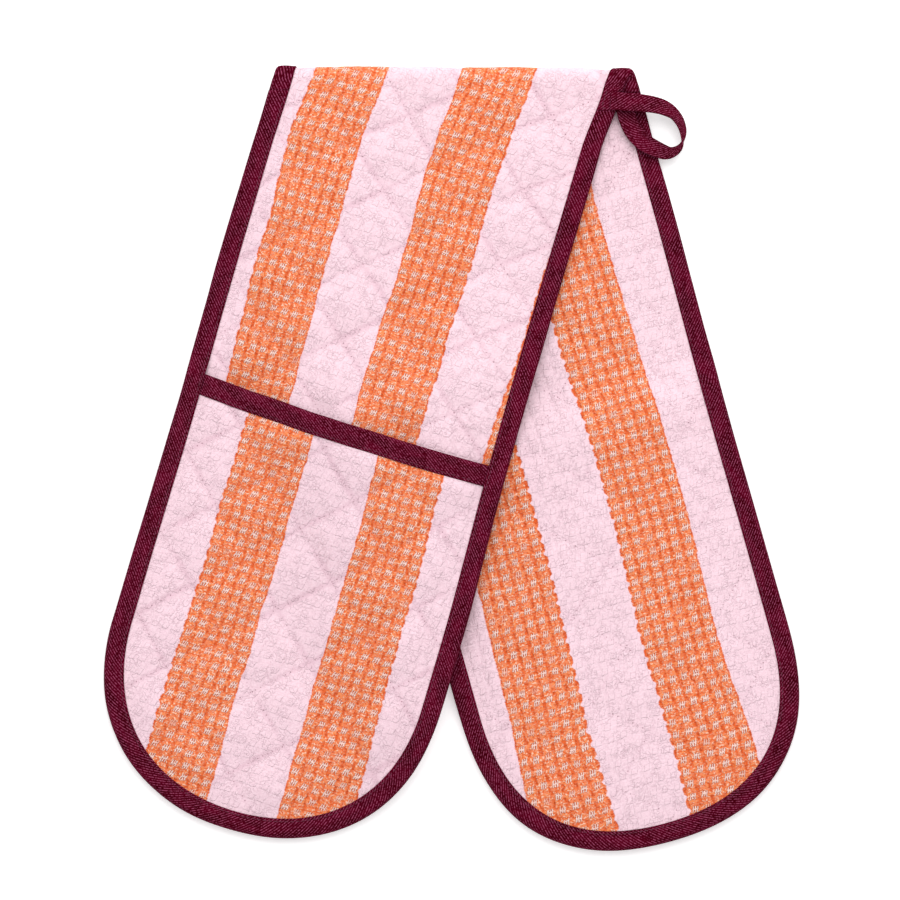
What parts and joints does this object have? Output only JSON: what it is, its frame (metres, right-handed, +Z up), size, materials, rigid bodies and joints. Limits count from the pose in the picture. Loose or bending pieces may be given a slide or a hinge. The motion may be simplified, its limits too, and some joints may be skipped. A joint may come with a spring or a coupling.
{
  "type": "double oven glove",
  "caption": "Quilted cotton strip with a bound edge and a hand pocket at each rounded end, folded over at its middle and laid flat, with a tape hanging loop at the fold.",
  "frame": {"origin": "centre of the folded glove's bounding box in plan, on the table it lies on", "axes": "+Z up off the table, +Y towards the fold and along the longest side, +X towards the hanging loop"},
  "size_m": [0.3646, 0.4154, 0.0287],
  "materials": {
    "woven_cover": "quilted waffle-weave cotton with pink and orange stripes, matte",
    "pocket_lining": "plain woven cotton, matte",
    "wadding": "needled cotton wadding, matte",
    "binding_tape": "twill cotton tape, slightly shiny"
  },
  "bodies": {
    "back_half": {"back_outer_cover": "woven_cover", "back_wadding": "wadding", "back_backing_cover": "woven_cover", "back_edge_binding": "binding_tape", "back_pocket_seam": "woven_cover", "fold_outer_cover": "woven_cover", "fold_wadding": "wadding", "fold_backing_cover": "woven_cover", "fold_binding_left": "binding_tape", "fold_binding_right": "binding_tape"},
    "back_pocket": {"back_pocket_outer_cover": "woven_cover", "back_pocket_wadding": "wadding", "back_pocket_lining": "pocket_lining", "back_pocket_mouth_binding": "binding_tape"},
    "front_half": {"front_outer_cover": "woven_cover", "front_wadding": "wadding", "front_backing_cover": "woven_cover", "front_edge_binding": "binding_tape", "front_pocket_seam": "woven_cover", "loop_anchor_patch": "binding_tape"},
    "front_pocket": {"front_pocket_outer_cover": "woven_cover", "front_pocket_wadding": "wadding", "front_pocket_lining": "pocket_lining", "front_pocket_mouth_binding": "binding_tape"},
    "hanging_loop": {"hanging_loop": "binding_tape"}
  },
  "joints": [
    {"name": "fold", "type": "hinge", "parent": "back_half", "child": "front_half", "pos_m": [-0.00069, 0.202, 0.0057], "axis": [-1, 0, 0], "range_deg": [0, 175], "deforming": ["fold_outer_cover", "fold_wadding", "fold_backing_cover", "fold_binding_left", "fold_binding_right"]},
    {"name": "front_pocket_mouth", "type": "hinge", "parent": "front_half", "child": "front_pocket", "pos_m": [-0.11425, -0.18933, 0.0072], "axis": [0.9613, -0.2756, 0], "range_deg": [0, 10]},
    {"name": "back_pocket_mouth", "type": "hinge", "parent": "back_half", "child": "back_pocket", "pos_m": [0.11425, -0.19413, 0.00066], "axis": [-0.9613, -0.2756, 0], "range_deg": [0, 10]},
    {"name": "loop_swing", "type": "hinge", "parent": "front_half", "child": "hanging_loop", "pos_m": [0.09311, 0.19, 0.0122], "axis": [-0.2756, -0.9613, 0], "range_deg": [0, 100]}
  ]
}
